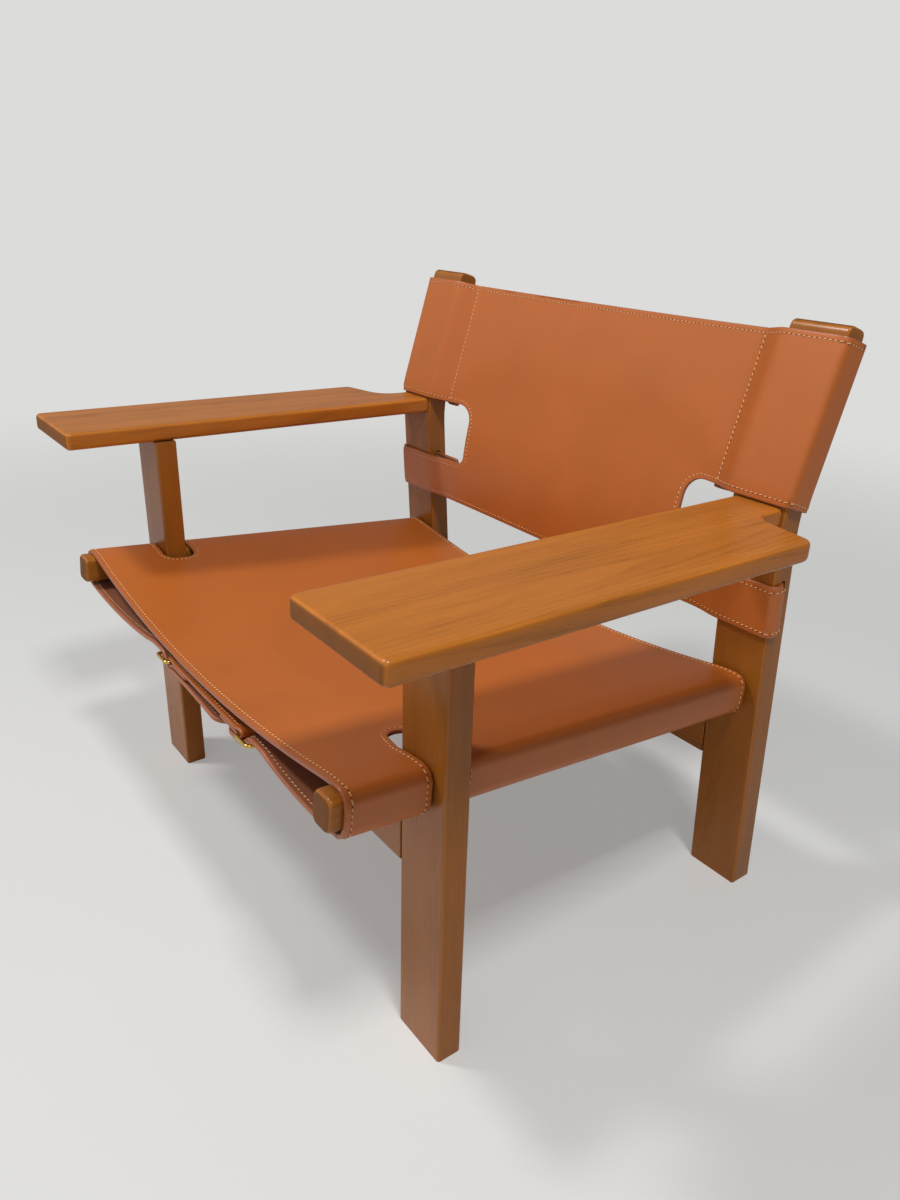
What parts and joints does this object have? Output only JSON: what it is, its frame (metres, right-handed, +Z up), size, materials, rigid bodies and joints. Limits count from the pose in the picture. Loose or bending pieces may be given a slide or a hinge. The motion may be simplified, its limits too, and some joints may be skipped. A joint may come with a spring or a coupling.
{
  "type": "leather sling lounge chair",
  "caption": "Low open lounge chair: hardwood frame with broad flat armrests, and thick leather slings for seat and back drawn tight by brass-buckled belts.",
  "frame": {"origin": "on the floor at the middle of the chair's outline", "axes": "+X towards the sitter's left, -Y the way the chair faces, +Z up"},
  "size_m": [0.825, 0.6054, 0.66],
  "materials": {
    "arm_wood": "stained hardwood under satin lacquer, honey brown",
    "frame_wood": "stained hardwood under satin lacquer, mid brown",
    "sling_leather": "smooth vegetable-tanned saddle leather, cognac",
    "belt_leather": "smooth saddle leather, cognac",
    "buckle_brass": "polished brass"
  },
  "bodies": {
    "chair": {"armrest_left": "arm_wood", "armrest_right": "arm_wood", "front_leg_left": "frame_wood", "front_leg_right": "frame_wood", "rear_post_left": "frame_wood", "rear_post_right": "frame_wood", "seat_rail_left": "frame_wood", "seat_rail_right": "frame_wood", "front_stretcher": "frame_wood", "rear_stretcher": "frame_wood", "seat_sling": "sling_leather", "back_sling": "sling_leather", "belt_strap_front": "belt_leather", "belt_strap_middle": "belt_leather", "belt_strap_rear": "belt_leather", "belt_strap_back": "belt_leather", "buckle_frame_front_left": "buckle_brass", "buckle_frame_front_right": "buckle_brass", "buckle_frame_middle_left": "buckle_brass", "buckle_frame_middle_right": "buckle_brass", "buckle_frame_rear_left": "buckle_brass", "buckle_frame_rear_right": "buckle_brass", "buckle_frame_back_left": "buckle_brass", "buckle_frame_back_right": "buckle_brass"},
    "prong_front_left": {"buckle_prong_front_left": "buckle_brass"},
    "prong_front_right": {"buckle_prong_front_right": "buckle_brass"},
    "prong_middle_left": {"buckle_prong_middle_left": "buckle_brass"},
    "prong_middle_right": {"buckle_prong_middle_right": "buckle_brass"},
    "prong_rear_left": {"buckle_prong_rear_left": "buckle_brass"},
    "prong_rear_right": {"buckle_prong_rear_right": "buckle_brass"},
    "prong_back_left": {"buckle_prong_back_left": "buckle_brass"},
    "prong_back_right": {"buckle_prong_back_right": "buckle_brass"}
  },
  "joints": [
    {"name": "prong_front_left_swing", "type": "hinge", "parent": "chair", "child": "prong_front_left", "pos_m": [0.132, -0.26769, 0.29027], "axis": [0, 0.9956, -0.0934], "range_deg": [0, 20]},
    {"name": "prong_front_right_swing", "type": "hinge", "parent": "chair", "child": "prong_front_right", "pos_m": [-0.044, -0.26769, 0.29027], "axis": [0, -0.9956, 0.0934], "range_deg": [0, 20]},
    {"name": "prong_middle_left_swing", "type": "hinge", "parent": "chair", "child": "prong_middle_left", "pos_m": [0.132, -0.03172, 0.26813], "axis": [0, 0.9956, -0.0934], "range_deg": [0, 20]},
    {"name": "prong_middle_right_swing", "type": "hinge", "parent": "chair", "child": "prong_middle_right", "pos_m": [-0.044, -0.03172, 0.26813], "axis": [0, -0.9956, 0.0934], "range_deg": [0, 20]},
    {"name": "prong_rear_left_swing", "type": "hinge", "parent": "chair", "child": "prong_rear_left", "pos_m": [0.132, 0.20325, 0.24609], "axis": [0, 0.9956, -0.0934], "range_deg": [0, 20]},
    {"name": "prong_rear_right_swing", "type": "hinge", "parent": "chair", "child": "prong_rear_right", "pos_m": [-0.044, 0.20325, 0.24609], "axis": [0, -0.9956, 0.0934], "range_deg": [0, 20]},
    {"name": "prong_back_left_swing", "type": "hinge", "parent": "chair", "child": "prong_back_left", "pos_m": [0.062, 0.24563, 0.37267], "axis": [0, -0.0656, 0.9978], "range_deg": [0, 20]},
    {"name": "prong_back_right_swing", "type": "hinge", "parent": "chair", "child": "prong_back_right", "pos_m": [-0.062, 0.24563, 0.37267], "axis": [0, 0.0656, -0.9978], "range_deg": [0, 20]}
  ]
}
